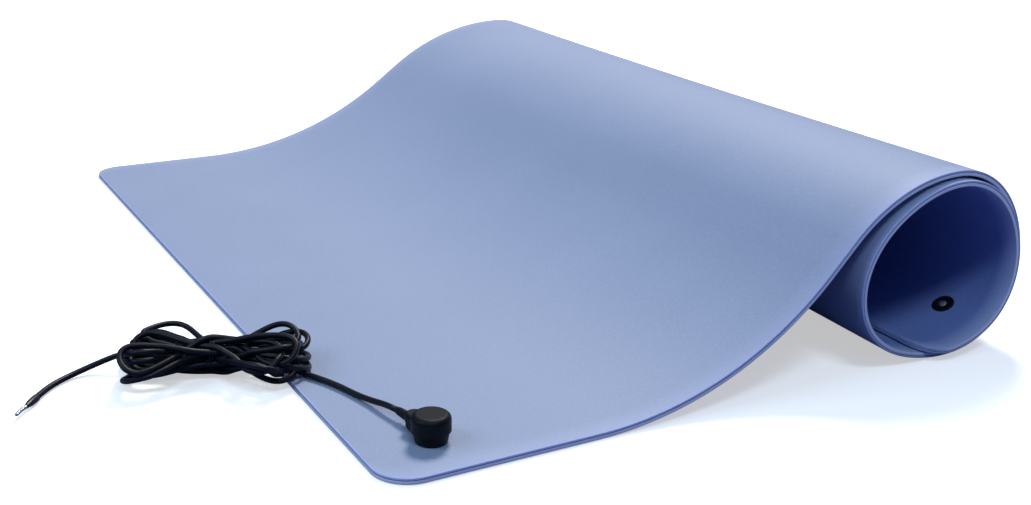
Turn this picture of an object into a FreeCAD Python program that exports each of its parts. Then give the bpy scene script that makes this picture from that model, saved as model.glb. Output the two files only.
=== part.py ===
"""ESD bench mat, partly rolled, with its press studs and a ground cord that snaps onto a stud.

Sizes are in millimetres. The model is laid out in the mat's corner frame: X runs along the mat
from its free front edge towards the roll, Y along the front edge, and Z up, with the origin at
the flat corner that carries the ground connector. The last step moves every piece so that the
origin is the bottom centre of the mat's box.
"""
import FreeCAD, Part

import math
import os

V = FreeCAD.Vector
V2 = FreeCAD.Base.Vector2d

# ---- mat sheet ---------------------------------------------------------------------------------
MAT_WIDTH = 610.0            # across the mat, along the roll's axis
MAT_LENGTH = 914.4           # developed length, from the front edge to the end inside the roll
TOP_LAYER = 1.2              # dissipative vinyl
CONDUCTIVE_LAYER = 0.3       # buried conductive scrim
BASE_LAYER = 1.9             # foamed vinyl base
CORNER_RADIUS = 20.0
PLANAR_LENGTH = 90.0         # front part built as flat faces; it ends before either side climbs
STATION_PITCH = 6.0          # spacing of the profile points along the sheet
OUTLINE_SPLITS = 8           # pieces that each long side's edge face is made of

# profile of the near side (at the connector's edge) and of the far side
NEAR = {"flat": 116.0, "valley": 203.0, "climb": 46.3, "crest": 98.0, "taper": 1.0}
FAR = {"flat": 99.0, "valley": 273.0, "climb": 36.1, "crest": 175.5, "taper": 0.925}

# the roll: an oval, slightly egg-shaped spiral wound clockwise from its top
ROLL_RADIUS = 59.2
ROLL_OVAL = 0.064            # share by which the roll is wider than it is tall
ROLL_OVAL_TURN = 90.0        # where it is widest, degrees clockwise from the top
ROLL_EGG = 0.029
ROLL_EGG_TURN = 16.6
TURN_GAP = 1.5               # clear space between the turns where the second turn starts
STUD_GAP = 4.2               # clear space between the turns over the roll-end stud
END_GAP = 0.5                # clear space under the sheet's inner end
TELESCOPE = 0.338e-4         # side creep of the winding, per square millimetre of wound length

# ---- press studs -------------------------------------------------------------------------------
FRONT_STUD_X = 37.5          # from the front edge
FRONT_STUD_Y = 31.5          # from the near edge
END_STUD_INSET = 50.0        # from the end inside the roll
END_STUD_Y = 36.0            # from the near edge
STUD_HEAD_RADIUS = 4.95      # 10 mm press stud
STUD_HEIGHT = 3.4            # above the mat
CUP_SHARE = 0.6              # radius of the hollow in the stud's head, as a share of the head's
FLARE_SHARE = 0.5            # radius of the rivet's flare, as a share of the head's
STUD_FLANGE_RADIUS = 6.3
STUD_FLOOR = 0.85            # inside the head's cup, where the rivet is flared
STUD_SEAT = 0.3              # how far the flange beds into the top layer
POST_RADIUS = 1.75
POST_BORE_RADIUS = 1.1
POST_CLEARANCE = 0.05
WASHER_RADIUS = 7.2
WASHER_THICKNESS = 1.3
WASHER_CLEARANCE = 0.1
FRONT_WASHER_SEAT = 1.35     # recess under the mat, deep enough to leave the underside flat
END_WASHER_SEAT = 0.5
RIVET_HEAD_RADIUS = 2.3
RIVET_HEAD_HEIGHT = 0.5

# ---- ground connector (local X points towards the cord) ------------------------------------------
CONNECTOR_YAW = 100.0
BASE_FOOT_RADIUS = 8.6
BASE_TOP_RADIUS = 9.3
BASE_LIFT = 0.6              # clears the stud's flange
BASE_HEIGHT = 6.2            # parting plane, above the mat
COVER_RADIUS = 10.2
COVER_HEIGHT = 15.3
NECK_HALF_WIDTH = 5.2        # the nose that the cord leaves from
NECK_LENGTH = 19.0
NECK_HEIGHT = 10.4
SHELL_WALL = 1.6
SOCKET_CLEARANCE = 0.05      # between the stud's head and the socket
SOCKET_WALL = 0.5
SOCKET_RADIUS = 6.5
SPRING_WIRE = 0.45
RESISTOR_RADIUS = 1.2
RESISTOR_LENGTH = 6.3
LEAD_RADIUS = 0.3
LEAD_LENGTH = 2.6
TAB_THICKNESS = 0.4
RELIEF_BIG_RADIUS = 2.5
RELIEF_TIP_RADIUS = 2.0
RELIEF_LENGTH = 10.0
CORD_AXIS_HEIGHT = 5.6       # above the mat, where the cord leaves the connector

# ---- cord --------------------------------------------------------------------------------------
CORD_RADIUS = 1.65
CONDUCTOR_RADIUS = 0.9
CORD_GAP = 0.3               # between the strain relief and the laid cord
LEAD_ROUTE = [
    (30.35, 68.3, 9.0), (27.6, 80.2, 6.7), (23.8, 93.6, 5.4), (19.9, 107.6, 5.45),
    (14.7, 120.7, 5.4), (8.4, 132.4, 5.6), (2.0, 140.6, 8.2),
]
TAIL_ROUTE = [
    (-70.5, 191.5, 11.0), (-79.5, 195.2, 8.4), (-89.6, 198.2, 4.4), (-100.6, 196.6, 2.0),
    (-111.6, 190.0, 1.75), (-120.6, 180.8, 1.8), (-126.4, 171.6, 2.4),
]
SLEEVE_RADIUS = 2.25
SLEEVE_LENGTH = 9.5
TIP_RADIUS = 1.05
TIP_LENGTH = 11.0            # bare, tinned, beyond the sleeve
STRAND_RADIUS = 0.6          # untinned strands inside the sleeve

# hank: right end, waist and left end of its axis, and its sections
HANK_RIGHT = (13.0, 137.0)
HANK_WAIST = (-34.5, 167.0)
HANK_LEFT = (-86.0, 191.0)
# share of the way from the waist (-1 is the right end, +1 the left), half width, half height, lift
HANK_SECTIONS = [
    (-1.0, 5.0, 4.0, 4.6), (-0.92, 16.0, 8.5, 3.8), (-0.72, 26.0, 10.5, 3.8),
    (-0.46, 28.0, 11.0, 3.8), (-0.24, 18.0, 10.5, 2.8), (-0.055, 10.5, 9.5, 2.0),
    (0.055, 10.5, 9.5, 1.8), (0.24, 18.0, 10.5, 1.0), (0.48, 28.0, 11.0, 0.4),
    (0.74, 26.0, 10.0, 0.4), (0.92, 15.0, 8.0, 0.8), (1.0, 5.0, 4.0, 3.0),
]
TIE_THICKNESS = 0.8
TIE_CLEARANCE = 0.05

# ---- worked out --------------------------------------------------------------------------------
MAT_THICKNESS = TOP_LAYER + CONDUCTIVE_LAYER + BASE_LAYER
HALF = MAT_THICKNESS / 2
END_STUD_S = MAT_LENGTH - END_STUD_INSET
CONNECTOR_ORIGIN = V(FRONT_STUD_X, FRONT_STUD_Y, MAT_THICKNESS)


def smooth(share):
    """An ease curve from 0 to 1."""
    share = min(max(share, 0.0), 1.0)
    return share * share * (3 - 2 * share)


def arc_points(start, radius, turn, step=0.5):
    """Points (x, z, slope, length) of an arc from start; a positive turn bends upwards."""
    x, z, slope, length = start
    side = 1.0 if turn > 0 else -1.0
    centre_x = x - math.sin(slope) * radius * side
    centre_z = z + math.cos(slope) * radius * side
    count = max(4, int(radius * abs(turn) / step))
    points = []
    for i in range(1, count + 1):
        angle = slope + turn * i / count
        points.append((centre_x + math.sin(angle) * radius * side,
                       centre_z - math.cos(angle) * radius * side,
                       angle, length + abs(turn) * radius * i / count))
    return points


def roll_base_radius(turn):
    """Radius of the roll's oval at an angle clockwise from its top."""
    oval = ROLL_OVAL * math.cos(2 * (turn - math.radians(ROLL_OVAL_TURN)))
    egg = ROLL_EGG * math.cos(3 * (turn - math.radians(ROLL_EGG_TURN)))
    return ROLL_RADIUS * (1 + oval + egg)


def roll_points(taper):
    """Points (x, z) of the outer turn about the roll's centre, and the angles they lie at."""
    pitch = MAT_THICKNESS + TURN_GAP
    angles = [math.radians(a) for a in range(-40, 361)]
    points = []
    for angle in angles:
        radius = roll_base_radius(angle) * taper - pitch * angle / (2 * math.pi)
        points.append((radius * math.sin(angle), radius * math.cos(angle)))
    first = max(range(90), key=lambda i: points[i][1])
    return points[first:], angles[first:]


def turn_gap(wound, to_stud, to_end):
    """Clear space between the turns: it widens over the stud and closes at the sheet's end."""
    if wound < to_stud:
        return TURN_GAP + (STUD_GAP - TURN_GAP) * smooth(wound / to_stud)
    return STUD_GAP + (END_GAP - STUD_GAP) * smooth((wound - to_stud) / (to_end - to_stud))


def dense_profile(side):
    """Centre line (x, z, length) of the sheet on one side of the mat, from its front edge."""
    climb = math.radians(side["climb"])
    outer, angles = roll_points(side["taper"])
    drop = -min(z for _, z in outer)
    top = outer[0][1] + drop
    slope = (top - (side["valley"] + side["crest"]) * (1 - math.cos(climb))) / math.sin(climb)
    line = [(0.0, 0.0, 0.0, 0.0), (side["flat"], 0.0, 0.0, side["flat"])]
    line += arc_points(line[-1], side["valley"], climb)
    x, z, angle, length = line[-1]
    line.append((x + slope * math.cos(climb), z + slope * math.sin(climb), angle, length + slope))
    line += arc_points(line[-1], side["crest"], -climb)
    shift = line[-1][0] - outer[0][0]
    path = [(p[0], p[1], p[3]) for p in line]
    for x, z in outer[1:]:
        step = math.hypot(x + shift - path[-1][0], z + drop - path[-1][1])
        path.append((x + shift, z + drop, path[-1][2] + step))
    start = path[-1][2]
    to_stud = END_STUD_S - start
    to_end = MAT_LENGTH - start
    pitch = MAT_THICKNESS + TURN_GAP
    angle = angles[-1]
    while path[-1][2] < MAT_LENGTH + 2:
        angle += math.radians(0.5)
        gap = turn_gap(path[-1][2] - start, to_stud, to_end)
        radius = roll_base_radius(angle) * side["taper"]
        radius -= pitch * (angle - 2 * math.pi) / (2 * math.pi) + MAT_THICKNESS + gap
        x = radius * math.sin(angle) + shift
        z = radius * math.cos(angle) + drop
        path.append((x, z, path[-1][2] + math.hypot(x - path[-1][0], z - path[-1][1])))
    return path


def at_length(path, length):
    """The (x, z) at a length along a dense profile."""
    low, high = 0, len(path) - 1
    while high - low > 1:
        middle = (low + high) // 2
        if path[middle][2] <= length:
            low = middle
        else:
            high = middle
    share = (length - path[low][2]) / (path[high][2] - path[low][2])
    return (path[low][0] + (path[high][0] - path[low][0]) * share,
            path[low][1] + (path[high][1] - path[low][1]) * share)


def side_point(path, length, offset):
    """A point of the sheet on one side, offset along its normal (up where the mat is flat)."""
    x, z = at_length(path, length)
    x0, z0 = at_length(path, max(length - 1.0, 0.0))
    x1, z1 = at_length(path, length + 1.0)
    run = math.hypot(x1 - x0, z1 - z0)
    return x - (z1 - z0) / run * offset, z + (x1 - x0) / run * offset + HALF


NEAR_PATH = dense_profile(NEAR)
FAR_PATH = dense_profile(FAR)


def top_length(path):
    """Length along the sheet at which it reaches the top of the roll."""
    return max(path, key=lambda p: p[1])[2]


WOUND_FROM = top_length(NEAR_PATH)


def creep(length):
    """How far the winding has crept towards the viewer's side at a length along the sheet."""
    return TELESCOPE * max(0.0, length - WOUND_FROM) ** 2


def sheet_point(length, across, offset):
    """A point of the sheet from its developed place: length, distance from the near edge, offset."""
    near_x, near_z = side_point(NEAR_PATH, length, offset)
    far_x, far_z = side_point(FAR_PATH, length, offset)
    share = across / MAT_WIDTH
    return V(near_x + (far_x - near_x) * share, across - creep(length),
             near_z + (far_z - near_z) * share)


def sheet_frame(length, across, offset):
    """Placement on the sheet whose local Z is the outward normal of the mat's top side."""
    along = sheet_point(length + 0.5, across, offset) - sheet_point(length - 0.5, across, offset)
    side = sheet_point(length, across + 0.5, offset) - sheet_point(length, across - 0.5, offset)
    along.normalize()
    normal = along.cross(side)
    normal.normalize()
    turn = FreeCAD.Rotation(along, normal.cross(along), normal, "ZXY")
    return FreeCAD.Placement(sheet_point(length, across, offset), turn)


def sheet_surface(offset):
    """B-spline surface of the curved sheet at an offset, with (length, across) as parameters."""
    count = int((MAT_LENGTH - PLANAR_LENGTH) / STATION_PITCH)
    step = (MAT_LENGTH - PLANAR_LENGTH) / count
    stations = [PLANAR_LENGTH + step * i for i in range(count + 1)]
    curves = []
    for across in (0.0, MAT_WIDTH):
        curve = Part.BSplineCurve()
        points = [sheet_point(s, across, offset) for s in stations]
        curve.interpolate(Points=points, Parameters=stations)
        curves.append(curve)
    near, far = curves
    surface = Part.BSplineSurface()
    poles = [[a, b] for a, b in zip(near.getPoles(), far.getPoles())]
    surface.buildFromPolesMultsKnots(poles, near.getMultiplicities(), [2, 2], near.getKnots(),
                                     [0.0, MAT_WIDTH], False, False, near.Degree, 1)
    return surface


def sheet_outline():
    """Cut outline of the curved sheet, in (length, across): square to the flat, rounded ends."""
    r = CORNER_RADIUS
    geo = Part.Geom2d
    outline = []

    def run(first, last, count):
        for k in range(count):
            outline.append(geo.Line2dSegment(first + (last - first) * (k / count),
                                             first + (last - first) * ((k + 1) / count)))

    def corner(x, y, start):
        ring = geo.Circle2d(V2(x, y), r)
        outline.append(geo.ArcOfCircle2d(ring, math.radians(start), math.radians(start + 90)))

    run(V2(PLANAR_LENGTH, 0), V2(MAT_LENGTH - r, 0), OUTLINE_SPLITS)
    corner(MAT_LENGTH - r, r, -90)
    run(V2(MAT_LENGTH, r), V2(MAT_LENGTH, MAT_WIDTH - r), 1)
    corner(MAT_LENGTH - r, MAT_WIDTH - r, 0)
    run(V2(MAT_LENGTH - r, MAT_WIDTH), V2(PLANAR_LENGTH, MAT_WIDTH), OUTLINE_SPLITS)
    run(V2(PLANAR_LENGTH, MAT_WIDTH), V2(PLANAR_LENGTH, 0), 1)
    return outline


def flat_front(bottom, top):
    """The planar front of a layer, with its two rounded corners."""
    slab = Part.makeBox(PLANAR_LENGTH, MAT_WIDTH, top - bottom, V(0, 0, bottom + HALF))
    corners = [e for e in slab.Edges if e.BoundBox.XMax < 0.001 and e.BoundBox.YLength < 0.001]
    return slab.makeFillet(CORNER_RADIUS, corners)


def sheet_layer(bottom, top):
    """A layer of the mat between two offsets from its middle surface."""
    faces = []
    edges = []
    for offset in (bottom, top):
        surface = sheet_surface(offset)
        ring = [line.toShape(surface) for line in sheet_outline()]
        faces.append(Part.Face(surface, Part.Wire(ring)))
        edges.append(ring)
    walls = [Part.makeRuledSurface(low, high) for low, high in zip(*edges)]
    shell = Part.makeShell(faces + walls)
    shell.sewShape()
    solid = Part.Solid(shell)
    if solid.Volume < 0:
        solid.reverse()
    return solid.fuse(flat_front(bottom, top))


def revolve(outline, axis=V(0, 0, 1)):
    """Solid of revolution about the local Z from (radius, height) points."""
    wire = Part.makePolygon([V(r, 0, z) for r, z in outline] + [V(outline[0][0], 0, outline[0][1])])
    return Part.Face(wire).revolve(V(0, 0, 0), axis, 360)


def placed(shape, placement):
    """A copy of the shape moved by a placement."""
    copy = shape.copy()
    copy.Placement = placement.multiply(copy.Placement)
    return copy


def cylinder(radius, low, high):
    """Cylinder about the local Z between two heights."""
    return Part.makeCylinder(radius, high - low, V(0, 0, low))


# ---- press studs -------------------------------------------------------------------------------
def stud_shape():
    """Male half of the press stud, with its foot at the mat's top side."""
    r, h = STUD_HEAD_RADIUS, STUD_HEIGHT
    bore = POST_RADIUS + POST_CLEARANCE
    outline = [(bore, -STUD_SEAT), (STUD_FLANGE_RADIUS, -STUD_SEAT), (STUD_FLANGE_RADIUS, 0.15),
               (STUD_FLANGE_RADIUS - 0.3, 0.4), (r - 0.55, 0.55), (r - 0.7, 1.1), (r - 0.35, 1.7),
               (r, 2.2), (r, 2.55), (r - 0.4, h - 0.25), (r - 1.0, h), (r - 1.6, h - 0.2),
               (r * CUP_SHARE, h - 0.9), (r * CUP_SHARE, STUD_FLOOR), (bore, STUD_FLOOR)]
    return revolve(outline)


def washer_shape(seat):
    """Black backing washer, under the mat, seated in a recess."""
    high = -MAT_THICKNESS + seat
    low = high - WASHER_THICKNESS
    bore = POST_RADIUS + POST_CLEARANCE
    outline = [(bore, high), (WASHER_RADIUS, high), (WASHER_RADIUS, high - 0.45),
               (WASHER_RADIUS - 0.5, low + 0.35), (WASHER_RADIUS - 1.7, low),
               (RIVET_HEAD_RADIUS + 0.9, low), (RIVET_HEAD_RADIUS + 0.1, low + RIVET_HEAD_HEIGHT),
               (bore, low + RIVET_HEAD_HEIGHT)]
    return revolve(outline)


def rivet_shape(seat):
    """Tubular rivet that clamps the washer, the mat and the stud together."""
    low = -MAT_THICKNESS + seat - WASHER_THICKNESS
    seat_plane = low + RIVET_HEAD_HEIGHT
    flare = STUD_HEAD_RADIUS * FLARE_SHARE
    outline = [(0.0, low + 0.02), (RIVET_HEAD_RADIUS - 0.7, low + 0.02),
               (RIVET_HEAD_RADIUS, low + 0.25), (RIVET_HEAD_RADIUS, seat_plane),
               (POST_RADIUS, seat_plane), (POST_RADIUS, STUD_FLOOR), (flare, STUD_FLOOR),
               (flare, STUD_FLOOR + 0.2), (flare - 0.3, STUD_FLOOR + 0.5),
               (POST_BORE_RADIUS, STUD_FLOOR + 0.4), (POST_BORE_RADIUS, seat_plane + 0.6),
               (0.0, seat_plane + 0.6)]
    return revolve(outline)


def snap_cuts(seat):
    """What the stud, rivet and washer take out of the mat, in the stud's local frame."""
    hole = cylinder(POST_RADIUS + 2 * POST_CLEARANCE, -MAT_THICKNESS - 0.5, 0.5)
    top = cylinder(STUD_FLANGE_RADIUS + WASHER_CLEARANCE, -STUD_SEAT, 0.6)
    under = cylinder(WASHER_RADIUS + WASHER_CLEARANCE, -MAT_THICKNESS - 1.2, -MAT_THICKNESS + seat)
    return [hole, top, under]


# ---- ground connector --------------------------------------------------------------------------
def neck_block(half_width, length, low, high):
    """The connector's nose: a block with a rounded end, from the axis towards the cord."""
    block = Part.makeBox(length - half_width, 2 * half_width, high - low,
                         V(0, -half_width, low))
    nose = Part.makeCylinder(half_width, high - low, V(length - half_width, 0, low))
    return block.fuse(nose).removeSplitter()


def nose_trim():
    """Wedge that slopes the underside of the nose up towards the cord."""
    profile = [V(6.5, 0, -1.0), (NECK_LENGTH + 2) * V(1, 0, 0) + V(0, 0, -1.0),
               V(NECK_LENGTH + 2, 0, 3.1), V(NECK_LENGTH - 4, 0, 2.9), V(6.5, 0, BASE_LIFT)]
    face = Part.Face(Part.makePolygon(profile + [profile[0]]))
    face.translate(V(0, -COVER_RADIUS, 0))
    return face.extrude(V(0, 2 * COVER_RADIUS, 0))


def cord_bore(radius):
    """Round hole along the cord's axis through the nose."""
    return Part.makeCylinder(radius, NECK_LENGTH, V(BASE_TOP_RADIUS - 2.0, 0, CORD_AXIS_HEIGHT),
                             V(1, 0, 0))


def connector_base():
    """Lower shell, which holds the socket."""
    outline = [(0.0, BASE_LIFT), (BASE_FOOT_RADIUS - 0.7, BASE_LIFT),
               (BASE_FOOT_RADIUS - 0.2, BASE_LIFT + 0.25), (BASE_FOOT_RADIUS, BASE_LIFT + 0.8),
               (BASE_TOP_RADIUS, BASE_HEIGHT), (0.0, BASE_HEIGHT)]
    nose = neck_block(NECK_HALF_WIDTH - 0.6, NECK_LENGTH, BASE_LIFT, BASE_HEIGHT)
    body = revolve(outline).fuse(nose.cut(nose_trim())).removeSplitter()
    body = body.cut(cylinder(SOCKET_RADIUS, 0.0, SOCKET_TOP))
    body = body.cut(cylinder(3.2, SOCKET_TOP - 0.5, BASE_HEIGHT + 1))
    body = body.cut(cord_bore(CORD_RADIUS + 0.1))
    well = Part.makeBox(5.4, 5.0, 3.0, V(6.9, -2.5, CORD_AXIS_HEIGHT - 1.9))
    return body.cut(well)


def connector_cover():
    """Upper shell: a domed cap over the socket with a lower nose for the cord."""
    cap = cylinder(COVER_RADIUS, BASE_HEIGHT, COVER_HEIGHT)
    rim = [e for e in cap.Edges if e.BoundBox.ZMin > COVER_HEIGHT - 0.01]
    cap = cap.makeFillet(3.0, rim)
    nose = neck_block(NECK_HALF_WIDTH, NECK_LENGTH + 0.4, BASE_HEIGHT, NECK_HEIGHT)
    nose_rim = [e for e in nose.Edges if e.BoundBox.ZMin > NECK_HEIGHT - 0.01
                and e.BoundBox.XMax > 1.0]
    nose = nose.makeFillet(1.8, nose_rim)
    hollow = cylinder(COVER_RADIUS - SHELL_WALL, BASE_HEIGHT - 1, COVER_HEIGHT - SHELL_WALL)
    lid = [e for e in hollow.Edges if e.BoundBox.ZMin > COVER_HEIGHT - SHELL_WALL - 0.01]
    hollow = hollow.makeFillet(2.0, lid)
    tunnel = neck_block(NECK_HALF_WIDTH - SHELL_WALL, NECK_LENGTH - 2.4, BASE_HEIGHT - 1,
                        NECK_HEIGHT - SHELL_WALL)
    body = cap.fuse(nose).cut(hollow).cut(tunnel)
    return body.cut(cord_bore(CORD_RADIUS + 0.1))


SOCKET_INNER = STUD_HEAD_RADIUS + SOCKET_CLEARANCE
SOCKET_TOP = STUD_HEIGHT + 0.35 + SOCKET_WALL


def snap_socket():
    """Female half of the press stud: a flanged cup over the stud's head."""
    outer = SOCKET_RADIUS - 0.05
    roof = SOCKET_TOP - SOCKET_WALL
    outline = [(SOCKET_INNER, BASE_LIFT), (outer, BASE_LIFT), (outer, SOCKET_TOP),
               (1.0, SOCKET_TOP), (1.0, roof), (SOCKET_INNER + SPRING_WIRE * 2 + 0.1, roof),
               (SOCKET_INNER + SPRING_WIRE * 2 + 0.1, BASE_LIFT + SOCKET_WALL),
               (SOCKET_INNER, BASE_LIFT + SOCKET_WALL)]
    return revolve(outline)


def socket_spring():
    """Split ring that grips under the stud's head, shown opened to the head's size."""
    ring = Part.makeTorus(SOCKET_INNER + SPRING_WIRE, SPRING_WIRE,
                          V(0, 0, BASE_LIFT + SOCKET_WALL + SPRING_WIRE + 0.05))
    gap = Part.makeBox(4.0, 1.2, 3.0, V(SOCKET_INNER - 1.0, -0.6, 0.0))
    return ring.cut(gap)


def socket_rivet():
    """Rivet that joins the socket to the terminal tab through the base shell."""
    roof = SOCKET_TOP - SOCKET_WALL
    outline = [(0.0, roof - 0.3), (1.6, roof - 0.3), (1.6, roof - 0.02), (0.95, roof - 0.02),
               (0.95, BASE_HEIGHT + TAB_THICKNESS), (1.7, BASE_HEIGHT + TAB_THICKNESS),
               (1.5, BASE_HEIGHT + TAB_THICKNESS + 0.5), (0.0, BASE_HEIGHT + TAB_THICKNESS + 0.7)]
    return revolve(outline)


def terminal_tab():
    """Brass tab between the rivet and the resistor, with an upright ear."""
    plate = Part.makeBox(8.4, 5.0, TAB_THICKNESS, V(-4.9, -2.5, BASE_HEIGHT))
    ear = Part.makeBox(TAB_THICKNESS, 5.0, 4.0, V(-4.9, -2.5, BASE_HEIGHT))
    tab = plate.fuse(ear).removeSplitter()
    tab = tab.cut(cylinder(1.0, BASE_HEIGHT - 1, BASE_HEIGHT + 1))
    return tab.cut(Part.makeCylinder(LEAD_RADIUS + 0.05, 3, V(-6, 0, RESISTOR_HEIGHT), V(1, 0, 0)))


RESISTOR_HEIGHT = 9.2
RESISTOR_START = -2.6


def along_x(radius, start, end, height):
    """Cylinder along the local X at a height."""
    return Part.makeCylinder(radius, end - start, V(start, 0, height), V(1, 0, 0))


def resistor_body():
    """One megohm resistor with raised end caps."""
    end = RESISTOR_START + RESISTOR_LENGTH
    body = along_x(RESISTOR_RADIUS - 0.15, RESISTOR_START, end, RESISTOR_HEIGHT)
    for start in (RESISTOR_START, end - 1.5):
        cap = along_x(RESISTOR_RADIUS, start, start + 1.5, RESISTOR_HEIGHT)
        body = body.fuse(cap.makeFillet(0.3, [e for e in cap.Edges if e.Length > 3.0
                                              and abs(e.BoundBox.XLength) < 0.1]))
    return body.removeSplitter()


def resistor_leads():
    """The two wire leads of the resistor: one to the tab, one down to the crimp."""
    end = RESISTOR_START + RESISTOR_LENGTH
    rear = along_x(LEAD_RADIUS, RESISTOR_START - LEAD_LENGTH, RESISTOR_START, RESISTOR_HEIGHT)
    points = [V(end, 0, RESISTOR_HEIGHT), V(end + 1.2, 0, RESISTOR_HEIGHT),
              V(end + 3.2, 0, CORD_AXIS_HEIGHT + 1.2), V(end + 3.9, 0, CORD_AXIS_HEIGHT),
              V(end + 6.0, 0, CORD_AXIS_HEIGHT)]
    front, _ = tube(points, LEAD_RADIUS)
    return Part.makeCompound([rear, front])


CRIMP_START = 8.4
CRIMP_LENGTH = 3.4


def wire_crimp():
    """Crimped sleeve that joins the resistor's lead to the cord's conductor."""
    sleeve = along_x(1.5, CRIMP_START, CRIMP_START + CRIMP_LENGTH, CORD_AXIS_HEIGHT)
    lead_hole = along_x(LEAD_RADIUS + 0.03, CRIMP_START - 1, CRIMP_START + 1.5, CORD_AXIS_HEIGHT)
    wire_hole = along_x(CONDUCTOR_RADIUS + 0.03, CRIMP_START + 1.4,
                        CRIMP_START + CRIMP_LENGTH + 1, CORD_AXIS_HEIGHT)
    return sleeve.cut(lead_hole).cut(wire_hole)


JACKET_START = CRIMP_START + CRIMP_LENGTH + 0.4


def cord_inner_end():
    """The cord's jacket where it is held in the nose, with its bore."""
    jacket = along_x(CORD_RADIUS, JACKET_START, NECK_LENGTH - 0.6, CORD_AXIS_HEIGHT)
    return jacket.cut(along_x(CONDUCTOR_RADIUS + 0.02, JACKET_START - 1, NECK_LENGTH - 1.6,
                              CORD_AXIS_HEIGHT))


def cord_conductor():
    """Bared conductor between the jacket and the crimp."""
    return along_x(CONDUCTOR_RADIUS, CRIMP_START + 1.5, NECK_LENGTH - 1.7, CORD_AXIS_HEIGHT)


def strain_relief():
    """Tapered boot round the cord where it leaves the nose."""
    start = NECK_LENGTH + 0.42
    end = NECK_LENGTH + RELIEF_LENGTH
    outline = [(0.0, start), (RELIEF_BIG_RADIUS, start), (RELIEF_BIG_RADIUS, start + 0.8)]
    rings = 3
    for i in range(rings):
        z = start + 1.6 + i * 2.3
        r = RELIEF_BIG_RADIUS + (RELIEF_TIP_RADIUS - RELIEF_BIG_RADIUS) * (z - start) / (end - start)
        outline += [(r - 0.25, z), (r - 0.25, z + 0.7), (r + 0.05, z + 0.9), (r + 0.05, z + 1.8)]
    outline += [(RELIEF_TIP_RADIUS, end), (0.0, end)]
    boot = revolve(outline)
    boot.rotate(V(0, 0, 0), V(0, 1, 0), 90)
    boot.translate(V(0, 0, CORD_AXIS_HEIGHT))
    return boot


# ---- cord --------------------------------------------------------------------------------------
def tube(points, radius):
    """Tube along straight runs joined by tangent arcs; returns the solid and its bend radii."""
    edges = []
    radii = []
    start = points[0]
    for before, corner, after in zip(points, points[1:], points[2:]):
        back = (before - corner).normalize()
        ahead = (after - corner).normalize()
        half_turn = (math.pi - back.getAngle(ahead)) / 2
        reach = 0.45 * min((before - corner).Length, (after - corner).Length)
        radii.append(reach / math.tan(half_turn))
        first = corner + back * reach
        last = corner + ahead * reach
        inward = (back + ahead).normalize()
        middle = corner + inward * (radii[-1] * (1 / math.cos(half_turn) - 1))
        edges.append(Part.LineSegment(start, first).toShape())
        edges.append(Part.Arc(first, middle, last).toShape())
        start = last
    edges.append(Part.LineSegment(start, points[-1]).toShape())
    path = Part.Wire(edges)
    heading = points[1] - points[0]
    ring = Part.Wire(Part.makeCircle(radius, points[0], heading))
    return path.makePipeShell([ring], True, False), radii


def report_tube(name, solid, radii, points, radius):
    """Print a tube's bend radii and compare its volume with its section times its length."""
    length = solid.Volume / (math.pi * radius ** 2)
    runs = [(b - a).Length for a, b in zip(points, points[1:])]
    print(name, "bend radii", [round(r, 1) for r in radii], "runs", [round(r, 1) for r in runs],
          "length from volume", round(length, 1), "runs added up", round(sum(runs), 1))


def hank_axis(share):
    """Point and heading of the hank's axis; -1 is its right end, 0 its waist, 1 its left end."""
    right, waist, left = (V(*p, 0) for p in (HANK_RIGHT, HANK_WAIST, HANK_LEFT))
    bend = waist * 2 - (right + left) * 0.5
    t = (share + 1) / 2
    point = right * (1 - t) ** 2 + bend * (2 * t * (1 - t)) + left * t ** 2
    heading = (bend - right) * (1 - t) + (left - bend) * t
    return point, heading.normalize()


def hank_ring(share, half_width, half_height, lift, extra=0.0):
    """Elliptical section of the hank as a closed wire."""
    point, heading = hank_axis(share)
    centre = point + V(0, 0, lift + half_height)
    sideways = V(0, 0, 1).cross(heading)
    wide = centre + sideways * (half_width + extra)
    tall = centre + V(0, 0, half_height + extra)
    return Part.Wire(Part.Ellipse(wide, tall, centre).toShape())


def cord_hank():
    """Outer shape of the hank, pinched at its tied waist."""
    return Part.makeLoft([hank_ring(*section) for section in HANK_SECTIONS], True, True)


def cord_tie():
    """Band round the hank's waist."""
    waist = [s for s in HANK_SECTIONS if abs(s[0]) < 0.1]
    low, high = waist
    near = (low[0] * 0.6, low[1], low[2], (low[3] * 0.8 + high[3] * 0.2))
    far = (high[0] * 0.6, high[1], high[2], (low[3] * 0.2 + high[3] * 0.8))
    outer = Part.makeLoft([hank_ring(*s, extra=TIE_THICKNESS) for s in (near, far)], True, True)
    inner = Part.makeLoft([hank_ring(*s, extra=TIE_CLEARANCE) for s in (low, high)], True, True)
    return outer.cut(inner)


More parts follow.
